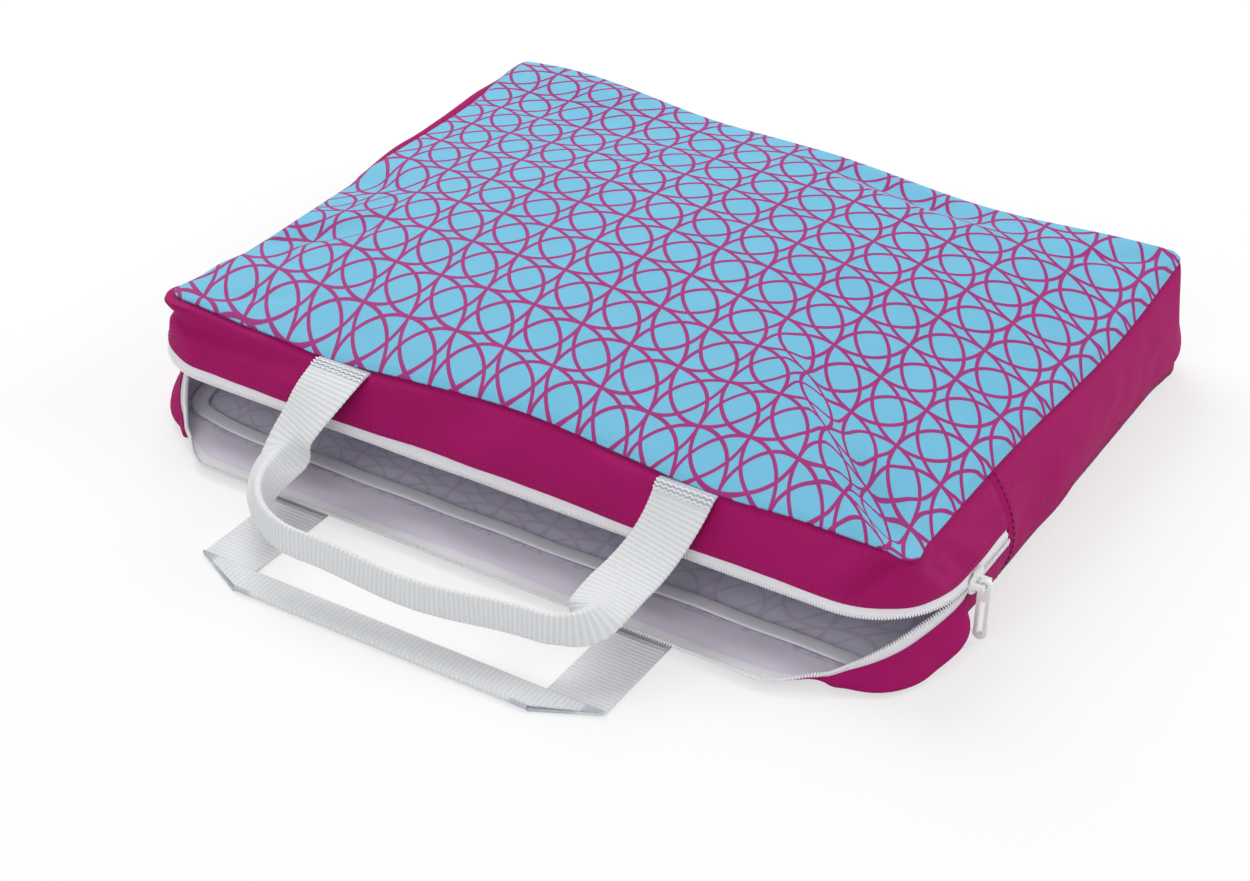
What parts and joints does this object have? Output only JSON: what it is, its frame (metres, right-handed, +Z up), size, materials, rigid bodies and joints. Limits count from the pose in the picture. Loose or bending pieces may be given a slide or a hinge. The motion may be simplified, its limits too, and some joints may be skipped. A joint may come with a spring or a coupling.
{
  "type": "laptop sleeve",
  "caption": "Soft flat laptop sleeve of printed cloth with a gusset, a zip round its mouth and a pair of short webbing handles.",
  "frame": {"origin": "centre of the base panel's underside", "axes": "+Z up through the top panel, -Y out of the zip mouth, X along the zip mouth"},
  "size_m": [0.4085, 0.3987, 0.0732],
  "materials": {
    "print_cloth": "printed polyester, turquoise with a magenta lattice of circles",
    "plain_cloth": "dyed magenta polyester, fine plain weave, white reverse",
    "zip_tape": "white woven zip tape",
    "zip_teeth": "white nylon coil",
    "zip_gloss": "white enamelled slider",
    "webbing": "white ribbed webbing",
    "binding": "white binding tape"
  },
  "bodies": {
    "case": {"base_panel": "plain_cloth", "top_panel": "print_cloth", "main_gusset": "plain_cloth", "upper_zip_strip": "plain_cloth", "upper_zip_tape": "zip_tape", "upper_zip_teeth": "zip_teeth", "lower_strip_corner_right": "plain_cloth", "lower_tape_corner_right": "zip_tape", "lower_teeth_corner_right": "zip_teeth", "lower_strip_corner_left": "plain_cloth", "lower_tape_corner_left": "zip_tape", "lower_teeth_corner_left": "zip_teeth", "top_seam_binding": "binding", "base_seam_binding": "binding", "side_seam_binding_right": "binding", "side_seam_binding_left": "binding"},
    "lower_lip": {"lower_zip_strip": "plain_cloth", "lower_zip_tape": "zip_tape", "lower_zip_teeth": "zip_teeth"},
    "zip_slider": {"zip_slider": "zip_gloss", "slider_bridge": "zip_gloss"},
    "pull_tab": {"pull_tab": "zip_gloss"},
    "upper_handle": {"upper_handle": "webbing"},
    "lower_handle": {"lower_handle": "webbing"}
  },
  "joints": [
    {"name": "mouth_close", "type": "hinge", "parent": "case", "child": "lower_lip", "pos_m": [0, -0.1524, 0.0018], "axis": [-1, 0, 0], "range_deg": [0, 80.1]},
    {"name": "zip_slide", "type": "slide", "parent": "case", "child": "zip_slider", "axis": [0, 1, 0], "range_m": [0, 0.025]},
    {"name": "pull_swing", "type": "hinge", "parent": "zip_slider", "child": "pull_tab", "pos_m": [0.20495, -0.104, 0.0291], "axis": [0, -1, 0], "range_deg": [0, 150]},
    {"name": "upper_handle_swing", "type": "hinge", "parent": "case", "child": "upper_handle", "pos_m": [0, -0.1434, 0.0576], "axis": [-1, 0, 0], "range_deg": [-7, 172]},
    {"name": "lower_handle_swing", "type": "hinge", "parent": "case", "child": "lower_handle", "pos_m": [0, -0.1524, -0.0002], "axis": [1, 0, 0], "range_deg": [0, 178]}
  ]
}
